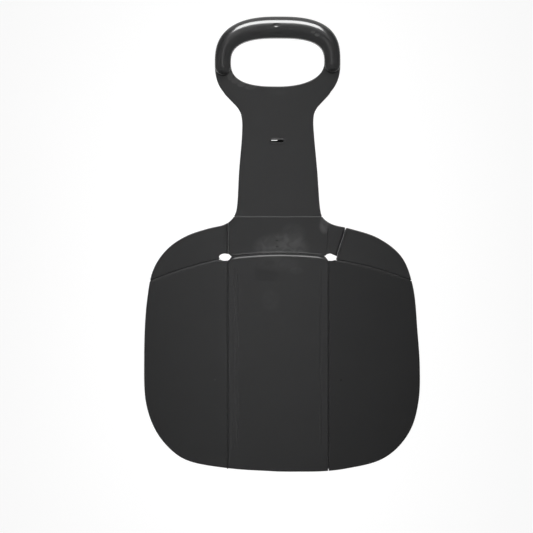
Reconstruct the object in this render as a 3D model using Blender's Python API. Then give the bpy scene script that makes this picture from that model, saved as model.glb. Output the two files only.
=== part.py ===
# Flat folding snow sled: one moulded sheet that folds along thin hinges, with a D handle and a grip.
# The sled lies flat on the ground. +Y points to the handle, +X to the right and +Z up.
# The origin is on the underside of the seat, halfway along it.

from math import asin, copysign, cos, hypot, pi, radians, sin, sqrt

import bmesh
import bpy
from mathutils import Matrix

MM = 0.001

# Moulded sheet
SHEET = 3.0 * MM
EDGE_RADIUS = 0.9 * MM
EDGE_STEPS = 1

# Edges of the body, from the foot of the neck round to the middle of the rear edge.
# Each row is a place along the sled and the half width there, in millimetres.
LEFT_EDGE = [
    (158.2, 47.6), (153.9, 51.0), (149.6, 57.5), (145.2, 75.5), (137.0, 99.2), (123.6, 119.0),
    (102.0, 134.2), (67.5, 141.5), (5.0, 144.6), (-45.0, 142.2), (-75.6, 130.6), (-96.7, 112.2),
    (-106.0, 95.8), (-114.0, 51.0), (-117.3, 0.0),
]
RIGHT_EDGE = [
    (158.2, 47.6), (153.9, 51.6), (149.6, 59.2), (145.2, 77.5), (134.8, 108.4), (115.0, 133.2),
    (84.8, 145.3), (33.0, 150.8), (-5.0, 153.2), (-40.0, 152.0), (-70.0, 144.2), (-92.0, 128.6),
    (-105.3, 109.2), (-114.0, 74.0), (-117.3, 15.0),
]
# Edge of the neck, from the flare under the handle ring down to the foot, in the same form
NECK_EDGE = [
    (290.0, 56.3), (281.3, 48.2), (275.6, 43.0), (269.5, 39.8), (261.0, 38.5), (246.5, 38.9),
    (208.0, 42.0), (164.5, 45.0),
]

# Handle ring and its opening, both rounded ovals
RING_Y = 325.1 * MM
RING_HALF_WIDTH = 67.4 * MM
RING_FRONT = 48.9 * MM
RING_REAR = 50.5 * MM
RING_SQUARENESS = 2.6
RING_FOOT_ANGLE = radians(-35.0)
OPENING_Y = 324.5 * MM
OPENING_HALF_WIDTH = 50.6 * MM
OPENING_HALF_HEIGHT = 25.9 * MM
OPENING_SQUARENESS_FRONT = 2.8
OPENING_SQUARENESS_REAR = 2.4

# Fold lines: a groove in the top face for each, but in the underside for the neck.
# The folds across the nose are arcs: the X of the foremost point, its Y and the radius.
SIDE_FOLD_X = 54.4 * MM
TONGUE_ARC = (2.5 * MM, 118.3 * MM, 415.0 * MM)
LEFT_FLAP_ARC = (9.8 * MM, 119.1 * MM, 376.0 * MM)
RIGHT_FLAP_ARC = (14.4 * MM, 114.7 * MM, 340.0 * MM)
TONGUE_AXIS_Y = 115.3 * MM
NECK_FOLD_Y = 158.2 * MM
GROOVE = 2.4 * MM
NECK_GROOVE = 1.6 * MM

# Cuts from the shoulders to the holes, which part the tongue from the flaps. Their walls lean
# apart, so that the flaps clear the tongue as they fold.
CUT_BOTTOM = 1.2 * MM
CUT_TOP = 3.0 * MM
CUT_OVERSHOOT = 0.25
CUT_FOOTS = ((-54.4 * MM, 115.8 * MM), (63.1 * MM, 115.2 * MM))
CUT_HEADS = ((-54.4 * MM, 151.7 * MM), (72.9 * MM, 146.5 * MM))

# Thin hinge webs in the grooves
WEB = 0.5 * MM
WEB_LIFT = 0.1 * MM
CLEARANCE = 0.3 * MM
SIDE_WEB_ENDS = (-112.0 * MM, 110.2 * MM)
TONGUE_WEB_END = 49.9 * MM
FLAP_WEB_INNER = 64.2 * MM
LEFT_FLAP_WEB_OUTER = 136.0 * MM
RIGHT_FLAP_WEB_OUTER = 141.8 * MM
NECK_WEB_END = 46.4 * MM

# Oval holes where the folds meet
HOLE_X = 57.1 * MM
HOLE_Y = 114.3 * MM
HOLE_HALF_LENGTH = 6.65 * MM
HOLE_HALF_WIDTH = 3.9 * MM

# Cord slot in the neck, with a raised lip
SLOT_X = -0.8 * MM
SLOT_Y = 240.3 * MM
SLOT_LENGTH = 13.0 * MM
SLOT_WIDTH = 2.4 * MM
LIP_WIDTH = 1.2 * MM
LIP_HEIGHT = 0.6 * MM
LIP_ROOT = 1.0 * MM

# Two shallow stiffening grooves in the seat
SEAT_GROOVE_XS = (-43.7 * MM, 45.9 * MM)
SEAT_GROOVE_ENDS = (-89.6 * MM, 103.0 * MM)
SEAT_GROOVE_WIDTH = 1.0 * MM
SEAT_GROOVE_DEPTH = 0.4 * MM

# Half-round grip on top of the ring, held by studs with heads sunk in the ring's underside
GRIP_HEIGHT = 9.0 * MM
GRIP_WALL = 2.2 * MM
GRIP_INSET = 0.2 * MM
GRIP_RIGHT_END = radians(-12.4)
GRIP_LEFT_END = radians(-15.7)
GRIP_STATIONS = 56
ARCH_STEPS = 10
TIP_SHARE = 0.16
STUD_ANGLES = (0.0, 45.0, 90.0, 135.0, 180.0)
STUD_RADIUS = 2.5 * MM
STUD_TOP = 11.0 * MM
HEAD_RADIUS = 4.2 * MM
HEAD_BOTTOM = 0.3 * MM
HEAD_TOP = 1.3 * MM

# How finely curved edges are divided
EDGE_SPLITS = 3
RING_STEPS = 26
OPENING_STEPS = 56
ARC_STEPS = 24
HOLE_STEPS = 28
ROUND_STEPS = 24
SLOT_END_STEPS = 8

# Blocks that trim one panel out of the sheet reach well outside it
FAR = 200.0 * MM
PAST_THE_HANDLE = 400.0 * MM
DEEP = -6.0 * MM
HIGH = 10.0 * MM

SHEET_GREY = (0.036, 0.036, 0.037, 1.0)
GRIP_GREY = (0.030, 0.030, 0.032, 1.0)
SHEET_ROUGHNESS = 0.45
GRIP_ROUGHNESS = 0.28


def clear_scene():
    for old in list(bpy.data.objects):
        bpy.data.objects.remove(old, do_unlink=True)


def new_collection(name):
    collection = bpy.data.collections.new(name)
    bpy.context.scene.collection.children.link(collection)
    return collection


def plastic(name, colour, roughness):
    finish = bpy.data.materials.new(name)
    finish.use_nodes = True
    shader = finish.node_tree.nodes["Principled BSDF"]
    shader.inputs["Base Color"].default_value = colour
    shader.inputs["Roughness"].default_value = roughness
    shader.inputs["Metallic"].default_value = 0.0
    return finish


def finish_piece(piece, colour=SHEET_GREY, roughness=SHEET_ROUGHNESS):
    piece.data.materials.clear()
    piece.data.materials.append(plastic(piece.name, colour, roughness))
    return piece


# Outlines, as lists of (x, y) in metres


def mix(a, b, share):
    return (a[0] + (b[0] - a[0]) * share, a[1] + (b[1] - a[1]) * share)


def between(around, share):
    """The point that is this share of the way from the second of four knots to the third,
    on a centripetal Catmull-Rom curve."""
    times = [0.0]
    for a, b in zip(around, around[1:]):
        times.append(times[-1] + sqrt(hypot(b[0] - a[0], b[1] - a[1])))
    t = times[1] + (times[2] - times[1]) * share

    def meet(i, j, a, b):
        return mix(a, b, (t - times[i]) / (times[j] - times[i]))

    a, b, c, d = around
    first, middle, last = meet(0, 1, a, b), meet(1, 2, b, c), meet(2, 3, c, d)
    return meet(1, 2, meet(0, 2, first, middle), meet(1, 3, middle, last))


def smooth(knots, splits):
    """A smooth run of points through the knots."""
    ahead_of_start = mix(knots[1], knots[0], 2.0)
    past_the_end = mix(knots[-2], knots[-1], 2.0)
    padded = [ahead_of_start] + knots + [past_the_end]
    run = []
    for i in range(len(knots) - 1):
        around = padded[i:i + 4]
        run += [between(around, k / splits) for k in range(splits)]
    return run + [knots[-1]]


def oval_point(half_width, half_height, squareness, angle):
    c, s = cos(angle), sin(angle)
    x = half_width * copysign(abs(c) ** (2.0 / squareness), c)
    y = half_height * copysign(abs(s) ** (2.0 / squareness), s)
    return (x, y)


def ring_point(angle):
    reach = RING_FRONT if sin(angle) >= 0.0 else RING_REAR
    x, y = oval_point(RING_HALF_WIDTH, reach, RING_SQUARENESS, angle)
    return (x, RING_Y + y)


def opening_point(angle):
    front = sin(angle) >= 0.0
    squareness = OPENING_SQUARENESS_FRONT if front else OPENING_SQUARENESS_REAR
    x, y = oval_point(OPENING_HALF_WIDTH, OPENING_HALF_HEIGHT, squareness, angle)
    return (x, OPENING_Y + y)


def opening_outline():
    return [opening_point(2.0 * pi * i / OPENING_STEPS) for i in range(OPENING_STEPS)]


def side_outline(edge, sign):
    """One side of the sled, from the front of the ring to the middle of the rear edge."""
    ring = []
    for i in range(RING_STEPS + 1):
        angle = pi / 2 + (RING_FOOT_ANGLE - pi / 2) * i / RING_STEPS
        x, y = ring_point(angle)
        ring.append((sign * x, y))
    edges = [(sign * half_width * MM, y * MM) for y, half_width in NECK_EDGE + edge]
    return ring + smooth([ring[-1]] + edges, EDGE_SPLITS)[1:]


def sled_outline():
    right = side_outline(RIGHT_EDGE, 1)
    left = side_outline(LEFT_EDGE, -1)
    return right + left[:0:-1]


def fold_arc(arc, start_x, end_x, offset):
    """Points along a curved fold across the nose, or along a line at an offset from it."""
    middle_x, front_y, radius = arc
    start = asin((start_x - middle_x) / radius)
    end = asin((end_x - middle_x) / radius)
    reach = radius + offset
    points = []
    for i in range(ARC_STEPS + 1):
        angle = start + (end - start) * i / ARC_STEPS
        points.append((middle_x + reach * sin(angle), front_y - radius + reach * cos(angle)))
    return points


def box_outline(left, right, rear, front):
    return [(left, rear), (right, rear), (right, front), (left, front)]


def obround_outline(centre_x, centre_y, length, width):
    half_straight = (length - width) / 2
    outline = []
    for side, start in ((1, -pi / 2), (-1, pi / 2)):
        for i in range(SLOT_END_STEPS + 1):
            angle = start + pi * i / SLOT_END_STEPS
            x = centre_x + side * half_straight + width / 2 * cos(angle)
            outline.append((x, centre_y + width / 2 * sin(angle)))
    return outline


def cut_line(side, front):
    """The middle of a cut, 0 on the left and 1 on the right, from its foot to a place past its head."""
    foot, head = CUT_FOOTS[side], CUT_HEADS[side]
    return foot, mix(foot, head, (front - foot[1]) / (head[1] - foot[1]))


# Solids


def flat_piece(name, outlines, bottom, top, collection, edge_radius=0.0):
    """A flat piece with these outlines, closed and welded. The edge radius rounds all its rims."""
    data = bpy.data.curves.new(name, "CURVE")
    data.dimensions = "2D"
    data.fill_mode = "BOTH"
    data.extrude = (top - bottom) / 2 - edge_radius
    data.bevel_depth = edge_radius
    data.bevel_resolution = EDGE_STEPS
    data.offset = -edge_radius
    for outline in outlines:
        spline = data.splines.new("POLY")
        spline.points.add(len(outline) - 1)
        for point, (x, y) in zip(spline.points, outline):
            point.co = (x, y, 0.0, 1.0)
        spline.use_cyclic_u = True
    curve = bpy.data.objects.new(name, data)
    curve.location.z = (top + bottom) / 2
    collection.objects.link(curve)
    bpy.context.view_layer.update()
    mesh = bpy.data.meshes.new_from_object(curve.evaluated_get(bpy.context.evaluated_depsgraph_get()))
    place = curve.matrix_world.copy()
    bpy.data.objects.remove(curve, do_unlink=True)
    return welded(name, mesh, place, collection)


def welded(name, mesh, place, collection):
    shape = bmesh.new()
    shape.from_mesh(mesh)
    shape.transform(place)
    bmesh.ops.remove_doubles(shape, verts=shape.verts, dist=0.001 * MM)
    bmesh.ops.recalc_face_normals(shape, faces=shape.faces)
    shape.to_mesh(mesh)
    shape.free()
    piece = bpy.data.objects.new(name, mesh)
    collection.objects.link(piece)
    return piece


def as_cutter(piece):
    piece.hide_render = True
    piece.display_type = "WIRE"
    return piece


def combine(piece, other, operation):
    step = piece.modifiers.new(other.name, "BOOLEAN")
    step.operation = operation
    step.object = other
    step.solver = "EXACT"


def posts(name, places, radius, bottom, top, collection):
    """One mesh with an upright round post at each place."""
    shape = bmesh.new()
    for x, y in places:
        bmesh.ops.create_cone(
            shape, cap_ends=True, segments=ROUND_STEPS, radius1=radius, radius2=radius,
            depth=top - bottom, matrix=Matrix.Translation((x, y, (bottom + top) / 2)),
        )
    return as_piece(name, shape, collection)


def as_piece(name, shape, collection):
    mesh = bpy.data.meshes.new(name)
    shape.to_mesh(mesh)
    shape.free()
    piece = bpy.data.objects.new(name, mesh)
    collection.objects.link(piece)
    return piece


def lofted(name, loops, collection):
    """A closed body through a row of equal loops, with a flat face over each end."""
    shape = bmesh.new()
    rings = [[shape.verts.new(point) for point in loop] for loop in loops]
    for near, far in zip(rings, rings[1:]):
        for i in range(len(near)):
            j = (i + 1) % len(near)
            shape.faces.new((near[i], near[j], far[j], far[i]))
    shape.faces.new(rings[0])
    shape.faces.new(rings[-1][::-1])
    bmesh.ops.triangulate(shape, faces=shape.faces)
    bmesh.ops.recalc_face_normals(shape, faces=shape.faces)
    return as_piece(name, shape, collection)


def cut_wedge(name, side, collection):
    """The room of one cut: an upright wedge along it, wider at the top."""
    foot, head = cut_line(side, NECK_FOLD_Y)
    length = hypot(head[0] - foot[0], head[1] - foot[1])
    right = ((head[1] - foot[1]) / length, (foot[0] - head[0]) / length)
    below, above = -CUT_OVERSHOOT, 1.0 + CUT_OVERSHOOT
    loops = []
    for x, y in (foot, head):
        loop = []
        for wall, share in ((-1, below), (1, below), (1, above), (-1, above)):
            out = wall * (CUT_BOTTOM + (CUT_TOP - CUT_BOTTOM) * share) / 2
            loop.append((x + right[0] * out, y + right[1] * out, SHEET * share))
        loops.append(loop)
    return as_cutter(lofted(name, loops, collection))


# Panels, each trimmed out of the sheet


def panel(name, sheet, region, openings, parts, cutters):
    piece = bpy.data.objects.new(name, sheet.data.copy())
    parts.objects.link(piece)
    block = as_cutter(flat_piece(name + "_block", [region], DEEP, HIGH, cutters))
    combine(piece, block, "INTERSECT")
    for opening in openings:
        combine(piece, opening, "DIFFERENCE")
    return finish_piece(piece)


def seat_panel(sheet, holes, parts, cutters):
    edge = SIDE_FOLD_X - GROOVE / 2
    region = [(-edge, -FAR), (edge, -FAR)] + fold_arc(TONGUE_ARC, edge, -edge, -GROOVE / 2)
    piece = panel("seat_panel", sheet, region, holes, parts, cutters)
    rear, front = SEAT_GROOVE_ENDS
    for i, x in enumerate(SEAT_GROOVE_XS):
        half = SEAT_GROOVE_WIDTH / 2
        outline = box_outline(x - half, x + half, rear, front)
        name = f"seat_groove_{i + 1}"
        combine(
            piece,
            as_cutter(flat_piece(name, [outline], SHEET - SEAT_GROOVE_DEPTH, HIGH, cutters)),
            "DIFFERENCE",
        )
    return piece


def wing(name, side, sheet, holes, parts, cutters):
    edge = side * (SIDE_FOLD_X + GROOVE / 2)
    arc = RIGHT_FLAP_ARC if side > 0 else LEFT_FLAP_ARC
    region = [(side * FAR, -FAR), (edge, -FAR)] + fold_arc(arc, edge, side * FAR, -GROOVE / 2)
    return panel(name, sheet, region, holes, parts, cutters)


def flap(name, side, sheet, openings, parts, cutters):
    foot, head = cut_line(side, NECK_FOLD_Y)
    outside, arc = (FAR, RIGHT_FLAP_ARC) if side else (-FAR, LEFT_FLAP_ARC)
    region = fold_arc(arc, outside, foot[0], GROOVE / 2) + [foot, head, (outside, NECK_FOLD_Y)]
    return panel(name, sheet, region, openings, parts, cutters)


def tongue_panel(sheet, openings, parts, cutters):
    front = NECK_FOLD_Y - NECK_GROOVE / 2
    left_foot, left_head = cut_line(0, front)
    right_foot, right_head = cut_line(1, front)
    arc = fold_arc(TONGUE_ARC, left_foot[0], right_foot[0], GROOVE / 2)
    region = [left_head, left_foot] + arc + [right_foot, right_head]
    return panel("tongue_panel", sheet, region, openings, parts, cutters)


def stud_places():
    angles = [radians(place) for place in STUD_ANGLES]
    return [mix(ring_point(angle), opening_point(angle), 0.5) for angle in angles]


def neck_panel(sheet, parts, cutters):
    region = box_outline(-FAR, FAR, NECK_FOLD_Y + NECK_GROOVE / 2, PAST_THE_HANDLE)
    piece = panel("neck_panel", sheet, region, [], parts, cutters)
    lip_length = SLOT_LENGTH + 2 * LIP_WIDTH
    lip_width = SLOT_WIDTH + 2 * LIP_WIDTH
    lip_outline = obround_outline(SLOT_X, SLOT_Y, lip_length, lip_width)
    lip = flat_piece("slot_lip", [lip_outline], LIP_ROOT, SHEET + LIP_HEIGHT, cutters)
    combine(piece, as_cutter(lip), "UNION")
    slot_outline = obround_outline(SLOT_X, SLOT_Y, SLOT_LENGTH, SLOT_WIDTH)
    combine(piece, as_cutter(flat_piece("slot", [slot_outline], DEEP, HIGH, cutters)), "DIFFERENCE")
    places = stud_places()
    stems = posts("stud_holes", places, STUD_RADIUS + CLEARANCE, DEEP, HIGH, cutters)
    combine(piece, as_cutter(stems), "DIFFERENCE")
    sink_top = HEAD_TOP + CLEARANCE
    sinks = posts("stud_sinks", places, HEAD_RADIUS + CLEARANCE, DEEP, sink_top, cutters)
    combine(piece, as_cutter(sinks), "DIFFERENCE")
    return piece


# Grip


def grip_middle():
    """Places along the middle of the ring from one end of the grip to the other, with the
    direction and half width across the ring at each, and the distance to the nearer end."""
    places = []
    for i in range(GRIP_STATIONS + 1):
        angle = GRIP_RIGHT_END + (pi - GRIP_LEFT_END - GRIP_RIGHT_END) * i / GRIP_STATIONS
        outer, inner = ring_point(angle), opening_point(angle)
        across = (outer[0] - inner[0], outer[1] - inner[1])
        width = hypot(across[0], across[1])
        places.append((mix(inner, outer, 0.5), (across[0] / width, across[1] / width), width / 2))
    run = [0.0]
    for (a, _, _), (b, _, _) in zip(places, places[1:]):
        run.append(run[-1] + hypot(b[0] - a[0], b[1] - a[1]))
    return [place + (min(run[i], run[-1] - run[i]),) for i, place in enumerate(places)]


def grip_loops(inset, drop):
    """Half-round sections along the ring, with rounded noses at the ends. The inset draws them in
    and the drop lowers their feet."""
    base = SHEET + CLEARANCE - drop
    loops = []
    for (x, y), (across_x, across_y), half_width, to_end in grip_middle():
        if to_end < inset:
            continue
        reach = min(1.0, (to_end - inset) / half_width)
        swell = max(TIP_SHARE, sqrt(1.0 - (1.0 - reach) ** 2))
        half = (half_width - GRIP_INSET - inset) * swell
        height = (GRIP_HEIGHT - inset + drop) * swell
        loop = []
        for k in range(ARCH_STEPS + 1):
            angle = pi * k / ARCH_STEPS
            out = half * cos(angle)
            loop.append((x + across_x * out, y + across_y * out, base + height * sin(angle)))
        loops.append(loop)
    return loops


def grip(parts, cutters):
    piece = lofted("grip", grip_loops(0.0, 0.0), parts)
    hollow = lofted("grip_hollow", grip_loops(GRIP_WALL, 2 * CLEARANCE), cutters)
    combine(piece, as_cutter(hollow), "DIFFERENCE")
    places = stud_places()
    stems = posts("stud_stems", places, STUD_RADIUS, HEAD_TOP - CLEARANCE, STUD_TOP, cutters)
    combine(piece, as_cutter(stems), "UNION")
    heads = posts("stud_heads", places, HEAD_RADIUS, HEAD_BOTTOM, HEAD_TOP, cutters)
    combine(piece, as_cutter(heads), "UNION")
    return finish_piece(piece, GRIP_GREY, GRIP_ROUGHNESS)


# Hinge webs


def straight_web(name, left, right, rear, front, bottom, parts):
    outline = box_outline(left, right, rear, front)
    return finish_piece(flat_piece(name, [outline], bottom, bottom + WEB, parts))


def side_web(name, side, parts):
    half = GROOVE / 2 - CLEARANCE
    middle = side * SIDE_FOLD_X
    rear, front = SIDE_WEB_ENDS
    return straight_web(name, middle - half, middle + half, rear, front, WEB_LIFT, parts)


def curved_web(name, arc, start_x, end_x, parts):
    half = GROOVE / 2 - CLEARANCE
    outline = fold_arc(arc, start_x, end_x, half) + fold_arc(arc, end_x, start_x, -half)
    return finish_piece(flat_piece(name, [outline], WEB_LIFT, WEB_LIFT + WEB, parts))


def neck_web(parts):
    half = NECK_GROOVE / 2 - CLEARANCE
    bottom = SHEET - WEB_LIFT - WEB
    rear, front = NECK_FOLD_Y - half, NECK_FOLD_Y + half
    return straight_web("neck_web", -NECK_WEB_END, NECK_WEB_END, rear, front, bottom, parts)


# Assembly


def pivot(name, place, parent, parts):
    empty = bpy.data.objects.new(name, None)
    parts.objects.link(empty)
    empty.location = place
    hang(empty, parent)
    return empty


def hang(child, parent):
    """Parents the child without moving it."""
    if parent:
        bpy.context.view_layer.update()
        child.parent = parent
        child.matrix_parent_inverse = parent.matrix_world.inverted()


def main():
    clear_scene()
    parts = new_collection("folding_snow_sled")
    cutters = new_collection("cutters")

    sheet = flat_piece("sheet", [sled_outline(), opening_outline()], 0.0, SHEET, cutters, EDGE_RADIUS)
    as_cutter(sheet)
    holes = []
    for name, side in (("left_hole", -1), ("right_hole", 1)):
        outline = []
        for i in range(HOLE_STEPS):
            x, y = oval_point(HOLE_HALF_LENGTH, HOLE_HALF_WIDTH, 2.0, 2.0 * pi * i / HOLE_STEPS)
            outline.append((side * HOLE_X + x, HOLE_Y + y))
        holes.append(as_cutter(flat_piece(name, [outline], DEEP, HIGH, cutters)))
    left_hole, right_hole = holes
    left_cut = cut_wedge("left_cut", 0, cutters)
    right_cut = cut_wedge("right_cut", 1, cutters)

    web_height = WEB_LIFT + WEB / 2
    left_end = fold_arc(LEFT_FLAP_ARC, 0.0, -FLAP_WEB_INNER, 0.0)[-1]
    right_end = fold_arc(RIGHT_FLAP_ARC, 0.0, FLAP_WEB_INNER, 0.0)[-1]
    left_side = pivot("left_side_fold", (-SIDE_FOLD_X, 0.0, web_height), None, parts)
    right_side = pivot("right_side_fold", (SIDE_FOLD_X, 0.0, web_height), None, parts)
    tongue_fold = pivot("tongue_fold", (0.0, TONGUE_AXIS_Y, web_height), None, parts)
    left_nose = pivot("left_flap_fold", (*left_end, web_height), left_side, parts)
    right_nose = pivot("right_flap_fold", (*right_end, web_height), right_side, parts)
    neck_fold = pivot("neck_fold", (0.0, NECK_FOLD_Y, SHEET - web_height), tongue_fold, parts)

    seat_panel(sheet, holes, parts, cutters)
    side_web("left_wing_web", -1, parts)
    side_web("right_wing_web", 1, parts)
    curved_web("tongue_web", TONGUE_ARC, -TONGUE_WEB_END, TONGUE_WEB_END, parts)
    hang(wing("left_wing", -1, sheet, [left_hole], parts, cutters), left_side)
    hang(wing("right_wing", 1, sheet, [right_hole], parts, cutters), right_side)
    left_web = curved_web("left_flap_web", LEFT_FLAP_ARC, -LEFT_FLAP_WEB_OUTER, -FLAP_WEB_INNER, parts)
    right_web = curved_web("right_flap_web", RIGHT_FLAP_ARC, FLAP_WEB_INNER, RIGHT_FLAP_WEB_OUTER, parts)
    hang(left_web, left_side)
    hang(right_web, right_side)
    hang(flap("left_flap", 0, sheet, [left_hole, left_cut], parts, cutters), left_nose)
    hang(flap("right_flap", 1, sheet, [right_hole, right_cut], parts, cutters), right_nose)
    hang(tongue_panel(sheet, holes + [left_cut, right_cut], parts, cutters), tongue_fold)
    hang(neck_web(parts), tongue_fold)
    hang(neck_panel(sheet, parts, cutters), neck_fold)
    hang(grip(parts, cutters), neck_fold)


main()
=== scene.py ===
from math import asin, copysign, cos, dist, hypot, pi, radians, sin, sqrt

import bmesh
import bpy
import numpy as np
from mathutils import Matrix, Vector
from mathutils.geometry import delaunay_2d_cdt


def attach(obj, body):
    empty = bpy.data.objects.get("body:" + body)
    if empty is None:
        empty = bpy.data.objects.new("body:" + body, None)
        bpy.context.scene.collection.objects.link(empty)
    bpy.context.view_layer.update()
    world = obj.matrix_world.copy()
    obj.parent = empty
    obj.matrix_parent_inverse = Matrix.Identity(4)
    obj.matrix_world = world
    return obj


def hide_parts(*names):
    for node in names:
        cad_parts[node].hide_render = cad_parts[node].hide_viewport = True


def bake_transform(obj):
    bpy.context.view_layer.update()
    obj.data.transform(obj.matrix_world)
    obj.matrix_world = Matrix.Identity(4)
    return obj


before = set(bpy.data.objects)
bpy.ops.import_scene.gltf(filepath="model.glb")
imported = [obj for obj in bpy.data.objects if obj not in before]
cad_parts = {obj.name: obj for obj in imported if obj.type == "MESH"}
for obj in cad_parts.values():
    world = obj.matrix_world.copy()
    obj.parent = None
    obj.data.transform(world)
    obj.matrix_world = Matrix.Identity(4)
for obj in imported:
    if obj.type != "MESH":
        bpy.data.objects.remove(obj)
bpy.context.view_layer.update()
mm = 0.001


# Node trees

def operator(operation, reflected=False):  # a Python operator that adds a Math node
    def result(self, other):
        return self.board.maths(operation, *((other, self) if reflected else (self, other)))
    return result


class Signal:  # a node's output that can be used in Python sums
    __add__, __radd__ = operator("ADD"), operator("ADD", True)
    __sub__, __rsub__ = operator("SUBTRACT"), operator("SUBTRACT", True)
    __mul__, __rmul__ = operator("MULTIPLY"), operator("MULTIPLY", True)
    __truediv__, __rtruediv__ = operator("DIVIDE"), operator("DIVIDE", True)
    __pow__, __gt__, __lt__ = operator("POWER"), operator("GREATER_THAN"), operator("LESS_THAN")

    def __init__(self, board, socket):
        self.board, self.socket = board, socket

    def __abs__(self):
        return self.board.maths("ABSOLUTE", self)


class Board:  # a node tree and the one way to add to it
    softEdge = 0.8  # how much of a spot's radius squared fades

    def __init__(self, tree):
        self.tree = tree
        tree.nodes.clear()

    def add(self, kind, inputs=None, output=0, **settings):
        made = self.tree.nodes.new(kind)
        for key, value in settings.items():
            setattr(made, key, value)
        for key, value in (inputs or {}).items():
            for item in value if isinstance(value, list) else [value]:
                if isinstance(item, Signal):
                    self.tree.links.new(item.socket, made.inputs[key])
                else:
                    made.inputs[key].default_value = item
        return Signal(self, made.outputs[output]) if len(made.outputs) else None

    def maths(self, operation, *values):
        return self.add("ShaderNodeMath", dict(enumerate(values)), operation=operation)

    def clamp(self, value):  # to between 0 and 1
        return self.add("ShaderNodeClamp", {0: value})

    def band(self, value, low, high):  # 0 below low, 1 above high and smooth between
        return self.add("ShaderNodeMapRange", {0: value, 1: low, 2: high}, interpolation_type="SMOOTHSTEP")

    def spot(self, x, y, middleX, middleY, halfX, halfY):  # 1 in the middle of a soft oval and 0 outside
        dx, dy = (x - middleX) / halfX, (y - middleY) / halfY
        return self.band(1 - (dx * dx + dy * dy), 0, self.softEdge)

    def noise(self, vector, scale, detail, distortion=0):
        sockets = {"Vector": vector, "Scale": scale, "Detail": detail, "Distortion": distortion}
        return self.add("ShaderNodeTexNoise", sockets)

    def split(self, vector):  # x, y and z
        node = self.add("ShaderNodeSeparateXYZ", {0: vector}).socket.node
        return [Signal(self, output) for output in node.outputs]

    def blendColours(self, share, a, b):
        return self.add("ShaderNodeMix", {0: share, 6: a, 7: b}, 2, data_type="RGBA")


def grey(level, blue=1):
    return (level, level, level * blue, 1)


def startFinish(name):
    finish = bpy.data.materials.new(name)
    finish.use_nodes = True
    return finish, Board(finish.node_tree)


def closeFinish(board, sockets):
    shader = board.add("ShaderNodeBsdfPrincipled", sockets)
    board.add("ShaderNodeOutputMaterial", {"Surface": shader})


# Objects

creaseAngle = 38  # degrees; edges that turn by more stay sharp
weld, collapse = 0.002, 0.001  # millimetres, for the meshes that node trees make


def addObject(name, data):
    made = bpy.data.objects.new(name, data)
    bpy.context.scene.collection.objects.link(made)
    return made


def placeMesh(name, shape, sharpAngle=None):
    if sharpAngle is not None:
        for face in shape.faces:
            face.smooth = True
        for edge in shape.edges:
            if len(edge.link_faces) == 2 and edge.calc_face_angle() > radians(sharpAngle):
                edge.smooth = False
    mesh = bpy.data.meshes.new(name)
    shape.to_mesh(mesh)
    shape.free()
    return addObject(name, mesh)


# Studio: camera, lights and floor, square on above the sled

studio = {
    "cameraPlace": (-0.01242, 0.1042, 3),
    "lampAim": (0, 0.33, 0),  # where a lamp faces unless it says otherwise
    "cameraLens": 187.5,
    "sensor": 36,
    "roomGrey": 0.1,
    "floorHeight": -0.0002,
    "floorSize": 12,
    "floorGrey": 0.2,
    "floorMottle": 0.01,  # share by which the grey varies
    "mottleScale": 3,
    "floorGlow": 0.9,
}
softboxes = {  # width and height as size; spread in degrees narrows the beam, as a grid on the softbox does
    "topSoftbox": {"place": (0, 1.36, 0.81), "size": (1.12, 0.56), "radiance": 11.5, "diffuse": False},
    "topCard": {"place": (0, 1.75, 0.16), "size": (2.4, 0.5), "radiance": 0.5},
    "skyCard": {"place": (0, 1, 1.15), "size": (1.3, 0.55), "radiance": 0.45, "diffuse": False},
    "overheadSoftbox": {
        "place": (-0.18, 0.42, 1.15), "faces": (-0.18, 0.42, 0), "size": (0.24, 0.4), "radiance": 0.55,
    },
    "beautySoftbox": {
        "place": (-0.012, 0.1, 1.25), "faces": (-0.012, 0.1, 0), "size": (0.12, 0.7), "radiance": 2.2,
        "spread": 33, "mirrored": False,
    },
    "leftSoftbox": {
        "place": (-1.15, 0.12, 0.8), "faces": (0, 0.1, 0), "size": (0.6, 0.6), "radiance": 0.8, "mirrored": False,
    },
}


def addCamera():
    camera = addObject("camera", bpy.data.cameras.new("camera"))
    camera.data.sensor_width = studio["sensor"]
    camera.data.lens = studio["cameraLens"]
    camera.location = studio["cameraPlace"]
    bpy.context.scene.camera = camera


def addSoftbox(name, look):
    lamp = bpy.data.lights.new(name, "AREA")
    lamp.shape = "RECTANGLE"
    width, height = look["size"]
    lamp.size, lamp.size_y = width, height
    lamp.energy = look["radiance"] * pi * width * height
    lamp.spread = radians(look.get("spread", 180))
    light = addObject(name, lamp)
    light.location = look["place"]
    aim = Vector(look.get("faces", studio["lampAim"])) - Vector(look["place"])
    light.rotation_euler = aim.to_track_quat("-Z", "Y").to_euler()
    light.visible_camera = False
    light.visible_glossy = look.get("mirrored", True)
    light.visible_diffuse = look.get("diffuse", True)


def seenRays(board):  # 1 for camera rays, and 1 for camera, mirror and see-through rays
    path = board.add("ShaderNodeLightPath").socket.node
    camera, glossy, through = (
        Signal(board, path.outputs[f"Is {kind} Ray"]) for kind in ("Camera", "Glossy", "Transmission")
    )
    return camera, board.maths("MAXIMUM", board.maths("MAXIMUM", camera, glossy), through)


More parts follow.
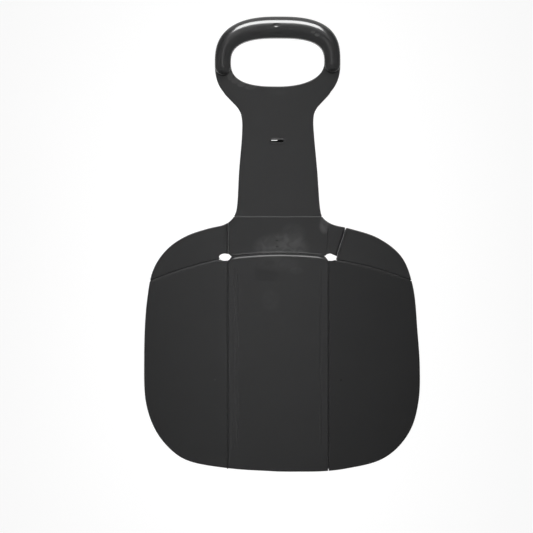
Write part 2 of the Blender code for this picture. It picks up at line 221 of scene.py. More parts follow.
def addFloor():
    half, z = studio["floorSize"] / 2, studio["floorHeight"]
    shape = bmesh.new()
    corners = ((-half, -half), (half, -half), (half, half), (-half, half))
    shape.faces.new([shape.verts.new((x, y, z)) for x, y in corners])
    floor = placeMesh("floor", shape)
    finish, board = startFinish("paleFloor")
    level, change = studio["floorGrey"], studio["floorMottle"]
    place = board.add("ShaderNodeTexCoord", None, "Object")
    mottle = board.noise(place, studio["mottleScale"], 2)
    closeFinish(board, {
        "Base Color": board.blendColours(mottle, grey(level * (1 - change)), grey(level * (1 + change))),
        "Roughness": 1,
        "Specular IOR Level": 0,
        "Emission Color": board.blendColours(seenRays(board)[1], grey(0), grey(1)),
        "Emission Strength": studio["floorGlow"],
    })
    floor.data.materials.append(finish)


def lightRoom():
    world = bpy.data.worlds.new("room")
    bpy.context.scene.world = world
    world.use_nodes = True
    board = Board(world.node_tree)
    colour = board.blendColours(seenRays(board)[0], grey(studio["roomGrey"]), grey(1))
    background = board.add("ShaderNodeBackground", {"Color": colour, "Strength": 1})
    board.add("ShaderNodeOutputWorld", {"Surface": background})


# Finishes

texture = {  # scales are per metre
    "patchScale": 26,  # patches of 40 mm
    "fleckScale": 320,  # 3 mm mottling
    "grainScale": 1400,  # fine moulded grain
    "blotchScale": 110,  # how the rubs and the painted sheen break up
    "blotchRange": (0.36, 0.62),
    "leastRubAndSheen": 0.45,  # share of a light spot, rub and painted sheen alike, that shows between its blotches
    "scuffTurn": 24,  # degrees; the scuffs are long and thin
    "scuffScale": (14, 420, 1),
    "scuffRange": (0.66, 0.74),
    "colourShares": (0.55, 0.3, 0.15, 0.6),  # patches, flecks, grain and scuffs
    "blue": 1.02,
    "pitShade": 0.4,
    "fleckRough": 0.08,
    "scuffRough": 0.1,
    "grainDepth": 0.02,
    "scuffDepth": 0.004,
    "coatRough": 0.08,
}
plainFinish = {
    "roughness": 0.42, "patchy": 0.05, "grain": 0.1, "wave": 0, "scuffs": 0, "specular": 0.5, "coat": 0,
}
finishes = {  # tone from dark to light; lighter spots (rubs, marks, painted sheen and painted highlights) and darker spots (pits, marks and painted shade) as x, y, half length, half width (mm) and strength
    "sheetPlastic": {
        "tone": (0.0282, 0.0344), "rubAndSheenTone": 0.055, "roughness": 0.38, "wave": 0.1, "scuffs": 0.5,
        "rubsAndSheen": [
            # On the seat: lighter patches; those by the tongue fold are painted sheen, carrying on the tongue's
            # blotches.
            (-2, 107, 30, 9, 0.45), (20, 100, 9, 5, 0.5), (-8, 68, 12, 14, 0.3),
            # Along the lower left of the opening: a painted highlight on its lit lip; then a pale patch below the
            # opening and a light gate mark.
            (-51.8, 310, 3.4, 5.5, 2.2), (-46.5, 304.8, 4.5, 4, 2), (-39.5, 301, 5.5, 3.6, 2.2),
            (-30, 297.6, 7, 3.2, 1), (1.1, 293.2, 13, 4.5, 0.2), (-68, -18, 1.1, 1.1, 1.5),
        ],
    },
    # Painted shade: the sheet's plastic, darker and with less specular, standing in for the right wing lying in less
    # light.
    "wingPaintedShade": {
        "tone": (0.0268, 0.0328), "wave": 0.1, "scuffs": 0.5, "specular": 0.3,
        "pitsAndShade": [(68, -18.4, 1.1, 1.1, 1)],
    },
    "tonguePlastic": {
        "tone": (0.0268, 0.0328), "rubAndSheenTone": 0.072, "roughness": 0.4, "patchy": 0.1, "grain": 0.12,
        "wave": 0.25, "scuffs": 0.6,
        # Painted sheen: lighter blotches that stand in for the glossy reflections on the tongue.
        "rubsAndSheen": [
            (4, 125, 34, 18, 0.85), (16, 140, 16, 13, 0.3), (50, 149, 6.5, 11, 1),
            (3, 124, 9, 8, 0.4),
        ],
        "pitsAndShade": [(-1.1, 132.3, 2.2, 1, 0.7), (-1.1, 125.8, 2, 1, 0.7)],
    },
    "gripPlastic": {
        "tone": (0.0385, 0.0445), "rubAndSheenTone": 0.09, "roughness": 0.24, "patchy": 0.03, "grain": 0.015,
        "wave": 0.04, "scuffs": 0.1, "coat": 1,
        # A painted highlight: a light streak inside the right bend.
        "rubsAndSheen": [(37.5, 356.6, 3.2, 1.8, 0.7), (42.2, 353.6, 3.4, 2.2, 1.3)],
        # Painted shade: darker crescents at the foot of each nose.
        "pitsAndShade": [(-60.5, 311.6, 8, 3.8, 1), (60.3, 314.3, 8, 3.8, 1)],
    },
    "hingePlastic": {"tone": (0.04, 0.058)},
    # Painted shade: a dark skin that darkens the side and flap folds.
    "foldPlastic": {"tone": (0.02, 0.026), "roughness": 0.5},
    "creasePlastic": {"tone": (0.07, 0.115), "roughness": 0.45},
    "slotShade": {"tone": (0.004, 0.006), "roughness": 0.7, "specular": 0.05},
}


def plastic(name):
    look = {**plainFinish, **finishes[name]}
    finish, board = startFinish(name)
    place = board.add("ShaderNodeTexCoord", None, "Object")
    x, y, _ = board.split(place)
    patches = board.noise(place, texture["patchScale"], 3, 0.6)
    flecks = board.noise(place, texture["fleckScale"], 2)
    grain = board.noise(place, texture["grainScale"], 2)
    turn = (0, 0, radians(texture["scuffTurn"]))
    drawn = board.add("ShaderNodeMapping", {"Vector": place, "Rotation": turn, "Scale": texture["scuffScale"]})
    scuffs = board.band(board.noise(drawn, 1, 2, 0.4), *texture["scuffRange"]) * look["scuffs"]
    shares = texture["colourShares"]
    mottle = shares[0] * patches + shares[1] * flecks + shares[2] * grain + shares[3] * scuffs
    colour = board.blendColours(board.clamp(mottle), *(grey(tone, texture["blue"]) for tone in look["tone"]))

    def spots(marks):
        total = 0
        for *sizes, strength in marks:
            total = strength * board.spot(x, y, *(size * mm for size in sizes)) + total
        return total

    # Lighter spots, broken up by blotches: a few are real rubs and marks, most are painted sheen and painted
    # highlights.
    if "rubsAndSheen" in look:
        blotches = board.band(board.noise(place, texture["blotchScale"], 3, 1), *texture["blotchRange"])
        least = texture["leastRubAndSheen"]
        rubAndSheenShare = board.clamp(spots(look["rubsAndSheen"]) * (least + (1 - least) * blotches))
        colour = board.blendColours(rubAndSheenShare, colour, grey(look["rubAndSheenTone"]))
    # Darker spots: small pits and marks, and painted shade at the ends of the grip.
    if "pitsAndShade" in look:
        shade = grey(look["tone"][0] * texture["pitShade"])
        colour = board.blendColours(board.clamp(spots(look["pitsAndShade"])), colour, shade)
    rough = look["roughness"] + look["patchy"] * (patches - 0.5) * 2
    rough = rough + texture["fleckRough"] * (flecks - 0.5) + texture["scuffRough"] * scuffs
    height = look["grain"] * grain * texture["grainDepth"] + look["wave"] * patches - texture["scuffDepth"] * scuffs
    closeFinish(board, {
        "Base Color": colour,
        "Roughness": board.clamp(rough),
        "Normal": board.add("ShaderNodeBump", {"Strength": 1, "Distance": mm, "Height": height}),
        "IOR": 1.5,
        "Coat Weight": look["coat"],
        "Coat Roughness": texture["coatRough"],
        "Specular IOR Level": look["specular"],
    })
    return finish


# Outlines in millimetres, as the frame has them

sled = {
    "leftEdge": [  # place along the sled and half width there, from the foot of the neck to the rear
        (158.2, 47.6), (153.9, 51), (149.6, 57.5), (145.2, 75.5), (137, 99.2), (123.6, 119), (102, 134.2),
        (67.5, 141.5), (5, 144.6), (-45, 142.2), (-75.6, 130.6), (-96.7, 112.2), (-106, 95.8), (-114, 51),
        (-117.3, 0),
    ],
    "rightEdge": [
        (158.2, 47.6), (153.9, 51.6), (149.6, 59.2), (145.2, 77.5), (134.8, 108.4), (115, 133.2), (84.8, 145.3),
        (33, 150.8), (-5, 153.2), (-40, 152), (-70, 144.2), (-92, 128.6), (-105.3, 109.2), (-114, 74), (-116.9, 50),
        (-117.5, 15),
    ],
    "neckLeft": [
        (290, 57.2), (281.3, 49), (275.6, 43.7), (269.5, 40.3), (261, 38.8), (246.5, 38.9), (208, 42), (164.5, 45),
    ],
    "neckRight": [
        (290, 55.3), (281.3, 47.4), (275.6, 42.3), (269.5, 39.2), (261, 38.2), (246.5, 38.9), (208, 42.4),
        (164.5, 45.8),
    ],
    "sheet": 3,
    "edgeSplits": 9,
    "step": 2,  # spacing of points along edges
}
ring = {
    "x": -0.43, "y": 325.1, "halfWidth": 67.85, "front": 48.9, "rear": 50.5, "footAngle": -35, "steps": 84,
    "squareness": {"frontRight": 2.8, "frontLeft": 2.52, "rearRight": 2.45, "rearLeft": 2.6},
}
opening = {
    "x": -0.45, "y": 324.5, "halfWidth": 50.4, "front": 25.9, "rear": 25.9, "steps": 600,
    "squareness": {"frontRight": 2.9, "frontLeft": 2.65, "rearRight": 2.2, "rearLeft": 2.68},
}
folds = {
    "sideX": 54.4, "sideReach": 125, "neckY": 158.2, "neckReach": 70,
    "half": 0.3, "neckHalf": 0.8,  # half widths of the gaps
}
noseArcs = {  # X and Y of the foremost point, and the radius
    "tongue": (2.5, 118.3, 415),
    "left": (9.8, 119.1, 376),
    "right": (14.4, 114.7, 340),
}
arcEnds = {"seat": (-60, 60), "tongue": (-60, 75), "left": (-50, -165), "right": (50, 165)}
cuts = {  # left and right; a nick is where a cut starts to widen, and by how much for each mm
    "feet": ((-53.9, 115.8), (63.6, 115.2)),
    "heads": ((-53.9, 151.7), (73.4, 146.5)),
    "reach": (109, 164),
    "halfGaps": (0.033, 0.045),
    "nicks": ((160, 0), (143, 0.14)),
}
holes = {"x": 57.1, "y": 114.3, "halfLength": 6.65, "halfWidth": 3.9, "steps": 96}
slot = {"x": -0.8, "y": 239.3, "length": 13.6, "width": 2.8, "endSteps": 14, "lean": (-6.4, 2.4)}


def mix(a, b, share):
    return (a[0] + (b[0] - a[0]) * share, a[1] + (b[1] - a[1]) * share)


def between(around, share):  # a centripetal Catmull-Rom curve from the second of four knots to the third
    times = [0]
    for a, b in zip(around, around[1:]):
        times.append(times[-1] + sqrt(dist(a, b)))
    t = times[1] + (times[2] - times[1]) * share

    def meet(i, j, a, b):
        return mix(a, b, (t - times[i]) / (times[j] - times[i]))

    a, b, c, d = around
    first, middle, last = meet(0, 1, a, b), meet(1, 2, b, c), meet(2, 3, c, d)
    return meet(1, 2, meet(0, 2, first, middle), meet(1, 3, middle, last))


def smooth(knots, splits):
    padded = [mix(knots[1], knots[0], 2)] + knots + [mix(knots[-2], knots[-1], 2)]
    run = []
    for i in range(len(knots) - 1):
        run += [between(padded[i:i + 4], k / splits) for k in range(splits)]
    return run + [knots[-1]]


def evenly(points, spacing, closed=False):  # the same line with points at an even spacing
    line = points + [points[0]] if closed else points
    run = [0]
    for a, b in zip(line, line[1:]):
        run.append(run[-1] + dist(a, b))
    places = np.linspace(0, run[-1], max(3, round(run[-1] / spacing)) + 1)
    even = list(zip(*(np.interp(places, run, [p[axis] for p in line]).tolist() for axis in (0, 1))))
    return even[:-1] if closed else even


def roundedPoint(look, angle):  # on a rounded form of which each quarter has its own squareness
    c, s = cos(angle), sin(angle)
    end, side = "front" if s >= 0 else "rear", "Right" if c > 0 else "Left"
    power = 2 / look["squareness"][end + side]
    x, y = look["halfWidth"] * copysign(abs(c) ** power, c), look[end] * copysign(abs(s) ** power, s)
    return (look["x"] + x, look["y"] + y)


def oval(x, y, halfX, halfY, count):
    angles = [2 * pi * i / count for i in range(count)]
    return [(x + halfX * cos(angle), y + halfY * sin(angle)) for angle in angles]


def sideOutline(edge, sign):  # from the front of the ring down one side to the rear
    turn = pi / 2 - radians(ring["footAngle"])
    points = [roundedPoint(ring, pi / 2 - sign * turn * i / ring["steps"]) for i in range(ring["steps"] + 1)]
    edges = [(sign * halfWidth, y) for y, halfWidth in edge]
    return points + smooth([points[-1]] + edges, sled["edgeSplits"])[1:]


def sledOutline():  # counterclockwise, down the left side and back up the right
    right = sideOutline(sled["neckRight"] + sled["rightEdge"], 1)
    left = sideOutline(sled["neckLeft"] + sled["leftEdge"], -1)
    return evenly(left[1:] + right[::-1], sled["step"], True)


def slotOutline():
    points, radius = [], slot["width"] / 2
    for side, start in ((1, -pi / 2), (-1, pi / 2)):
        middleX = slot["x"] + side * (slot["length"] - slot["width"]) / 2
        for i in range(slot["endSteps"] + 1):
            angle = start + pi * i / slot["endSteps"]
            points.append((middleX + radius * cos(angle), slot["y"] + radius * sin(angle)))
    return points


def foldArc(name, ends, offset, spacing):
    middleX, frontY, radius = noseArcs[name]
    start, end = (asin((x - middleX) / radius) for x in ends)
    reach = radius + offset
    count = max(4, round(abs(end - start) * reach / spacing))
    angles = [start + (end - start) * i / count for i in range(count + 1)]
    return [(middleX + reach * sin(angle), frontY - radius + reach * cos(angle)) for angle in angles]


# Edges of panels, each as its points, whether it is closed, its rim, and a test for the panel's own side of it.
# An offset is the way from the middle of a fold or cut to the panel.

class Region:  # the inside of closed outlines, by counting crossings
    def __init__(self, *outlines):
        starts = [np.array(outline, float) for outline in outlines]
        ends = [np.roll(points, -1, axis=0) for points in starts]
        (self.ax, self.ay), (self.bx, self.by) = np.concatenate(starts).T, np.concatenate(ends).T
        self.rise = np.where(self.by == self.ay, 1, self.by - self.ay)

    def holds(self, x, y):
        crossed = (self.ay > y) != (self.by > y)
        at = self.ax + (y - self.ay) * (self.bx - self.ax) / self.rise
        return bool(np.count_nonzero(crossed & (x < at)) % 2)

    def distance(self, x, y):
        dx, dy = self.bx - self.ax, self.by - self.ay
        t = np.clip(((x - self.ax) * dx + (y - self.ay) * dy) / np.maximum(dx * dx + dy * dy, 1e-12), 0, 1)
        return float(np.sqrt(np.min((self.ax + t * dx - x) ** 2 + (self.ay + t * dy - y) ** 2)))


def bodyEdge():
    outline = sledOutline()
    region = Region(outline)
    return outline, True, "outer", lambda p: region.holds(*p)


def sideEdge(side, offset, rim):
    x, reach = side * folds["sideX"] + offset, folds["sideReach"]
    return evenly([(x, -reach), (x, reach)], sled["step"]), False, rim, lambda p: (p[0] - x) * offset > 0


def neckEdge(offset):
    y, reach = folds["neckY"] + offset, folds["neckReach"]
    return evenly([(-reach, y), (reach, y)], sled["step"]), False, "neckFold", lambda p: (p[1] - y) * offset > 0


def arcEdge(name, ends, offset, rim):
    middleX, frontY, radius = noseArcs[name]

    def ownSide(p):
        return (hypot(p[0] - middleX, p[1] - frontY + radius) - radius - offset) * offset > 0

    return foldArc(name, arcEnds[ends], offset, sled["step"]), False, rim, ownSide


def cutEdge(index, offset, rim):  # 0 is the left cut and 1 the right one
    foot, head = cuts["feet"][index], cuts["heads"][index]
    length = dist(foot, head)
    rightX, rightY = (head[1] - foot[1]) / length, (foot[0] - head[0]) / length
    start, growth = cuts["nicks"][index]

    def away(y):
        return offset + copysign(growth * max(0, y - start), offset)

    def ownSide(p):
        return ((p[0] - foot[0]) * rightX + (p[1] - foot[1]) * rightY - away(p[1])) * offset > 0

    points = []
    for front in np.arange(*cuts["reach"], sled["step"] / 2):
        x, y = mix(foot, head, (front - foot[1]) / (head[1] - foot[1]))
        points.append((float(x + rightX * away(y)), float(y + rightY * away(y))))
    return points, False, rim, ownSide


def holeEdge(side):
    sizes = (side * holes["x"], holes["y"], holes["halfLength"], holes["halfWidth"])

    def outside(p):
        return ((p[0] - sizes[0]) / sizes[2]) ** 2 + ((p[1] - sizes[1]) / sizes[3]) ** 2 > 1

    return oval(*sizes, holes["steps"]), True, "hole", outside


def trimmed(points, closed, tests, halvings=36):  # the parts of a line that pass every test
    def passes(p):
        return all(test(p) for test in tests)

    def edgeOf(inside, outside):
        for _ in range(halvings):
            middle = mix(inside, outside, 0.5)
            inside, outside = (middle, outside) if passes(middle) else (inside, middle)
        return inside

    flags = [passes(p) for p in points]
    if closed:
        first = flags.index(False)
        points = points[first:] + points[:first] + [points[first]]
        flags = flags[first:] + flags[:first] + [False]
    found, run = [], []
    for i, p in enumerate(points):
        if flags[i]:
            if not run and i:
                run.append(edgeOf(p, points[i - 1]))
            run.append(p)
        elif run:
            found.append(run + [edgeOf(points[i - 1], p)])
            run = []
    return found + ([run] if run else [])


def chained(runs, widestGap=0.1):  # one closed loop of (place, rim of the edge that starts there)
    runs = [(points, rim) for points, rim in runs if len(points) > 1]
    points, rim = runs.pop(0)
    loop = [(p, rim) for p in points]
    while runs:
        end = loop[-1][0]
        gap, i = min((min(dist(run[0], end), dist(run[-1], end)), i) for i, (run, _) in enumerate(runs))
        if gap > widestGap:
            raise ValueError(f"edge runs do not meet: {gap:.2f} mm at {end}")
        points, rim = runs.pop(i)
        if dist(points[0], end) > gap + 1e-9:
            points = points[::-1]
        loop[-1] = (points[0], rim)
        loop += [(p, rim) for p in points[1:]]
    loop.pop()
    return loop


def counterclockwise(points):
    return sum(a[0] * b[1] - b[0] * a[1] for a, b in zip(points, points[1:] + points[:1])) > 0


def oriented(loop):  # counterclockwise, with each edge keeping its rim
    if counterclockwise([p for p, _ in loop]):
        return loop
    return [(loop[-i][0], loop[-i - 1][1]) for i in range(len(loop))]


# Panels: each is a loop of edge runs with its own rim section, filled on top and below

uprightFoot = [(0, 0), (0, 0.3), (0, 0.8), (0, 1.3)]
rims = {  # how far in from the edge and how high, from the underside up
    "outer": [
        (0.9, 0), (0.45, 0.12), (0.12, 0.45), (0, 0.9), (0, 1.5), (0, 2.1), (0.07, 2.44), (0.26, 2.74), (0.56, 2.93),
        (0.9, 3),
    ],
    "foldShallow": uprightFoot + [(0, 1.8), (0.03, 2.3), (0.16, 2.5), (0.38, 2.72), (0.7, 2.9), (1.2, 3)],
    "foldDeep": uprightFoot + [(0.02, 1.8), (0.06, 2.2), (0.12, 2.5), (0.24, 2.75), (0.46, 2.93), (0.85, 3)],
    "flapFront": uprightFoot + [(0.02, 1.8), (0.05, 2.2), (0.1, 2.5), (0.2, 2.75), (0.4, 2.93), (0.75, 3)],
    "flapRear": uprightFoot + [(0.02, 1.8), (0.06, 2.2), (0.12, 2.7), (0.45, 2.8), (1.2, 2.92), (2.2, 3)],
    "tongueFront": [
        (0, 0), (0, 0.45), (0.01, 0.9), (0.03, 1.6), (0.06, 2.4), (0.14, 3), (0.48, 3.46), (1, 3.26), (1.6, 3.05),
        (2.2, 3),
    ],
    "tongueRear": [
        (0, 0), (0, 0.45), (0.1, 0.9), (0.3, 1.4), (0.65, 1.8), (1.1, 2.12), (1.7, 2.46), (2.3, 2.78), (2.65, 2.94),
        (3.2, 3),
    ],
    "neckFold": [
        (0.3, 0), (0.1, 0.15), (0, 0.4), (-0.1, 0.9), (-0.25, 1.4), (-0.4, 1.9), (-0.5, 2.3), (-0.5, 2.75),
        (-0.45, 2.92), (-0.3, 3),
    ],
    "cutSteep": [
        (0, 0), (0, 0.15), (0.15, 0.4), (0.28, 0.8), (0.4, 1.3), (0.5, 1.8), (0.58, 2.2), (0.66, 2.6), (0.78, 2.88),
        (1, 3),
    ],
    "cutBevel": [
        (0, 0), (0, 0.15), (0.2, 0.4), (0.4, 0.8), (0.6, 1.3), (0.8, 1.8), (1, 2.2), (1.3, 2.6), (1.65, 2.86),
        (2.2, 3),
    ],
    "slantSteep": [
        (0, 0), (0, 0.04), (0.75, 0.2), (1.05, 0.6), (1.25, 1.2), (1.4, 1.7), (1.52, 2.1), (1.68, 2.5), (1.9, 2.84),
        (2.25, 3),
    ],
    "slantBevel": [
        (0.55, 0), (0, 0.16), (0.5, 0.3), (0.85, 0.7), (1.1, 1.3), (1.3, 1.8), (1.5, 2.2), (1.75, 2.6), (2, 2.86),
        (2.4, 3),
    ],
    "hole": [(0.4, 0), (0.15, 0.1), (0, 0.4), (0, 1), (0, 1.5), (0, 2), (0, 2.4), (0.1, 2.75), (0.3, 2.95), (0.6, 3)],
    "slot": [
        (0.3, 0), (0.1, 0.1), (0, 0.4), (0, 1.6), (0, 2.9), (0.12, 3.2), (0.35, 3.4), (0.7, 3.38), (1.2, 3.2), (2, 3),
    ],
    "stud": [
        (1.95, 0), (1.7, 0.25), (1.7, 0.8), (1.7, 1.4), (1.65, 1.6), (0.2, 1.6), (0, 1.75), (0, 2.4), (0, 2.9),
        (0.1, 3),
    ],
}
panels = {  # grooves as x, rear, front, half width and depth
    "seatGrooves": [
        (-43.7, -89.6, 103, 0.75, 0.26), (45.9, -89.6, 103, 0.75, 0.28),
        (-47.2, -96, 104, 0.6, 0.12), (-51.4, -100, 104, 0.6, 0.1),
    ],
    "tongueGrooves": [(53.9, 119.5, 150, 0.9, 0.5)],
    "grooveSection": [(-2.2, 0), (-1, 0), (-0.55, 0.55), (0, 1), (0.55, 0.55), (1, 0), (2.2, 0)],
    "grooveStep": 4,
    "grooveFade": 6,  # length over which a groove runs out
    "grooveClear": (1.2, 2),  # room without grid points beside a groove and beyond its ends
    "gridTop": 4,  # spacing of the grid points
    "gridUnder": 8,
    "gridRoom": 0.45,  # share of the spacing that they keep from the rims
    "gridStarts": (0.25, 0.75),  # shares of the spacing at which the rows start in turn
    "rimHold": 0.4,  # a flat strip that keeps the shading of the faces flat
    "mitreRoom": 0.3,  # room beyond a mitre that points keep clear
    "leastMitre": 0.3,  # keeps the mitre of a narrow corner short
    "sharpTurn": 0.2,  # sine from which a corner is mitred
    "outerCorner": 0.8,  # share of the deepest rim that a corner pointing outwards needs
}


def clearedCorners(loop):  # drops points that a corner's mitre would run over
    places = [p for p, _ in loop]
    count = len(loop)
    dropped = set()
    for i, (p, rim) in enumerate(loop):
        if rim == loop[i - 1][1]:
            continue
        before, after = places[i - 2], places[(i + 2) % count]
        a = (before[0] - p[0], before[1] - p[1])
        b = (after[0] - p[0], after[1] - p[1])
        turn = a[0] * b[1] - a[1] * b[0]
        cosine = max(-1, min(1, (a[0] * b[0] + a[1] * b[1]) / (hypot(*a) * hypot(*b))))
        halfTangent = sqrt((1 - cosine) / (1 + cosine + 1e-9))
        deepest = max(rims[rim][-1][0], rims[loop[i - 1][1]][-1][0]) + panels["rimHold"]
        reach = deepest * panels["outerCorner"]
        if turn < 0:
            reach = deepest / max(halfTangent, panels["leastMitre"]) + panels["mitreRoom"]
        for way in (-1, 1):
            k = i + way
            while dist(places[k % count], p) < reach and k % count != i:
                if loop[k % count][1] == loop[(k % count) - 1][1]:
                    dropped.add(k % count)
                k += way
    return [item for i, item in enumerate(loop) if i not in dropped]


def rimRings(loop, lean):  # the loop at each level of its rims, in millimetres
    normals = []
    for (a, _), (b, _) in zip(loop, loop[1:] + loop[:1]):
        length = max(dist(a, b), 1e-9)
        normals.append(((a[1] - b[1]) / length, (b[0] - a[0]) / length))
    profiles = {}
    for rim, shape in rims.items():
        low, high = ((inset + panels["rimHold"], z) for inset, z in (shape[0], shape[-1]))
        profiles[rim] = [low] + shape + [high]
    rings = []
    for level in range(len(rims["outer"]) + 2):
        places = []
        for i, (p, rim) in enumerate(loop):
            lastRim = loop[i - 1][1]
            (inBefore, highBefore), (inAfter, highAfter) = profiles[lastRim][level], profiles[rim][level]
            na, nb = normals[i - 1], normals[i]
            crossing = na[0] * nb[1] - na[1] * nb[0]
            if lastRim != rim and abs(crossing) > panels["sharpTurn"]:  # a mitred corner between two rims
                dx = (inBefore * nb[1] - inAfter * na[1]) / crossing
                dy = (inAfter * na[0] - inBefore * nb[0]) / crossing
            else:
                bend = max(panels["leastMitre"], 1 + na[0] * nb[0] + na[1] * nb[1])
                scale = (inBefore + inAfter) / 2 / bend
                dx, dy = (na[0] + nb[0]) * scale, (na[1] + nb[1]) * scale
            z = (highBefore + highAfter) / 2
            share = max(0, 1 - z / sled["sheet"])  # a leaning hole leans from its top down
            places.append((p[0] + dx + lean[0] * share, p[1] + dy + lean[1] * share, z))
        rings.append(places)
    return rings


def grooveLines(groove):  # lines of points along a shallow groove, (x, y, depth)
    x, rear, front, half, depth = groove
    fade = panels["grooveFade"]
    ys = np.linspace(rear, front, max(4, round((front - rear) / panels["grooveStep"])))
    lines = []
    for across, share in panels["grooveSection"]:
        ends = [max(0, min(1, (y - rear) / fade, (front - y) / fade)) for y in ys]
        lines.append([(x + across * half, float(y), depth * share * end) for y, end in zip(ys, ends)])
    return lines


def filled(shape, rings, loops, top, grooves=()):
    # Fills the top or the underside inside the rings, with the grooves and a grid of points
    height, spacing = (sled["sheet"], panels["gridTop"]) if top else (0, panels["gridUnder"])
    region = Region(*[[(x, y) for x, y, _ in places] for places in rings])
    places, known, edges, depths = [], [], [], {}
    for ringPlaces, verts in zip(rings, loops):
        start = len(places)
        places += [Vector((x, y)) for x, y, _ in ringPlaces]
        known += verts
        edges += [(start + i, start + (i + 1) % len(verts)) for i in range(len(verts))]
    for line in [line for groove in grooves for line in grooveLines(groove)]:
        last = None
        for x, y, depth in line:
            inside = region.holds(x, y) and region.distance(x, y) > panels["rimHold"]
            if inside:
                depths[len(places)] = depth
                if last is not None:
                    edges.append((last, len(places)))
                places.append(Vector((x, y)))
            last = len(places) - 1 if inside else None
    beside, beyond = panels["grooveClear"]
    grooveHalf = panels["grooveSection"][-1][0]
    xs, ys = [p.x for p in places], [p.y for p in places]
    for row, y in enumerate(np.arange(min(ys) + spacing / 2, max(ys), spacing)):
        for x in np.arange(min(xs) + spacing * panels["gridStarts"][row % 2], max(xs), spacing):
            clear = all(
                abs(x - middle) > grooveHalf * half + beside or not rear - beyond < y < front + beyond
                for middle, rear, front, half, _ in grooves
            )
            if clear and region.holds(x, y) and region.distance(x, y) > spacing * panels["gridRoom"]:
                places.append(Vector((float(x), float(y))))
    points, _, faces, sources, _, _ = delaunay_2d_cdt(places, edges, [], 0, 1e-5)
    verts = []
    for point, source in zip(points, sources):
        edgeVerts = [known[i] for i in source if i < len(known)]
        if edgeVerts:
            verts.append(edgeVerts[0])
        else:
            depth = depths.get(source[0], 0) if source else 0
            verts.append(shape.verts.new((point.x * mm, point.y * mm, (height - depth) * mm)))
    for face in faces:
        middleX, middleY = (sum(points[i][axis] for i in face) / len(face) for axis in (0, 1))
        corners = [verts[i] for i in face]
        if region.holds(middleX, middleY) and len(set(corners)) > 2:
            shape.faces.new(corners if top else corners[::-1])


def buildPanel(name, edges, inner=(), grooves=()):
    # Each edge is trimmed by the tests of the others; inner loops are (points, rim, lean)
    runs = []
    for i, (points, closed, rim, _) in enumerate(edges):
        tests = [test for k, (_, _, _, test) in enumerate(edges) if k != i]
        runs += [(run, rim) for run in trimmed(points, closed, tests)]
    loops = [(clearedCorners(oriented(chained(runs))), (0, 0))]
    for points, rim, lean in inner:
        loops.append(([(p, rim) for p in (points[::-1] if counterclockwise(points) else points)], lean))
    shape = bmesh.new()
    allRings, allVerts = [], []
    for loop, lean in loops:
        rings = rimRings(loop, lean)
        verts = [[shape.verts.new((x * mm, y * mm, z * mm)) for x, y, z in places] for places in rings]
        for low, high in zip(verts, verts[1:]):
            for i, (_, rim) in enumerate(loop):
                k = (i + 1) % len(loop)
                face = shape.faces.new((low[i], low[k], high[k], high[i]))
                face.material_index = int(rim == "slot" and high[i].co.z < sled["sheet"] * mm)  # its shaded wall
        allRings.append(rings)
        allVerts.append(verts)
    for level, top, marks in ((-1, True, grooves), (0, False, ())):
        filled(shape, [rings[level] for rings in allRings], [verts[level] for verts in allVerts], top, marks)
    panel = placeMesh(name, shape, creaseAngle)
    print("panel", name, len(panel.data.polygons), "faces")
    return panel


def makePanels():
    half, neckHalf = folds["half"], folds["neckHalf"]
    leftGap, rightGap = cuts["halfGaps"]
    body, leftHole, rightHole, tongueEnd = bodyEdge(), holeEdge(-1), holeEdge(1), neckEdge(-neckHalf)
    made = [buildPanel("seatPanel", [
        body, sideEdge(-1, half, "foldShallow"), sideEdge(1, -half, "foldDeep"),
        arcEdge("tongue", "seat", -half, "tongueRear"), leftHole, rightHole,
    ], (), panels["seatGrooves"])]
    for name, side, hand, rim, hole in (
        ("leftWing", -1, "left", "foldShallow", leftHole), ("rightWing", 1, "right", "foldDeep", rightHole),
    ):
        edges = [body, sideEdge(side, side * half, rim), arcEdge(hand, hand, -half, "flapRear"), hole]
        made.append(buildPanel(name, edges))
    for name, hand, cut, hole in (
        ("leftFlap", "left", cutEdge(0, -leftGap, "cutBevel"), leftHole),
        ("rightFlap", "right", cutEdge(1, rightGap, "slantSteep"), rightHole),
    ):
        made.append(buildPanel(name, [body, arcEdge(hand, hand, half, "flapFront"), cut, hole, tongueEnd]))
    made.append(buildPanel("tonguePanel", [
        body, arcEdge("tongue", "tongue", half, "tongueFront"), cutEdge(0, leftGap, "cutSteep"),
        cutEdge(1, -rightGap, "slantBevel"), tongueEnd, leftHole, rightHole,
    ], (), panels["tongueGrooves"]))
    openingLine = [roundedPoint(opening, 2 * pi * i / opening["steps"]) for i in range(opening["steps"])]
    inner = [
        (evenly(openingLine, sled["step"], True), "outer", (0, 0)),
        (slotOutline(), "slot", slot["lean"]),
    ]
    for x, y in studPlaces():
        inner.append((oval(x, y, studs["stemHole"], studs["stemHole"], studs["steps"]), "stud", (0, 0)))
    made.append(buildPanel("neckPanel", [body, neckEdge(neckHalf)], inner))
    return made


# Geometry Nodes

def nodeGroup(name, sizes):
    # A tree with a geometry input and output, and a named input for each size
    tree = bpy.data.node_groups.new(name, "GeometryNodeTree")
    for way in ("INPUT", "OUTPUT"):
        tree.interface.new_socket("Geometry", in_out=way, socket_type="NodeSocketGeometry")
    sockets = {}
    for label, value in sizes.items():
        kind = "NodeSocketInt" if isinstance(value, int) else "NodeSocketFloat"
        sockets[label] = tree.interface.new_socket(label, in_out="INPUT", socket_type=kind).identifier
    board = Board(tree)
    entry = board.add("NodeGroupInput").socket.node
    values = {socket.name: Signal(board, socket) for socket in entry.outputs if socket.name}
    return board, values, sockets


def closeTree(board, geometry, material):
    real = board.add("GeometryNodeRealizeInstances", {"Geometry": geometry})
    dressed = board.add("GeometryNodeSetMaterial", {"Geometry": real, "Material": material})
    board.add("NodeGroupOutput", {"Geometry": dressed})


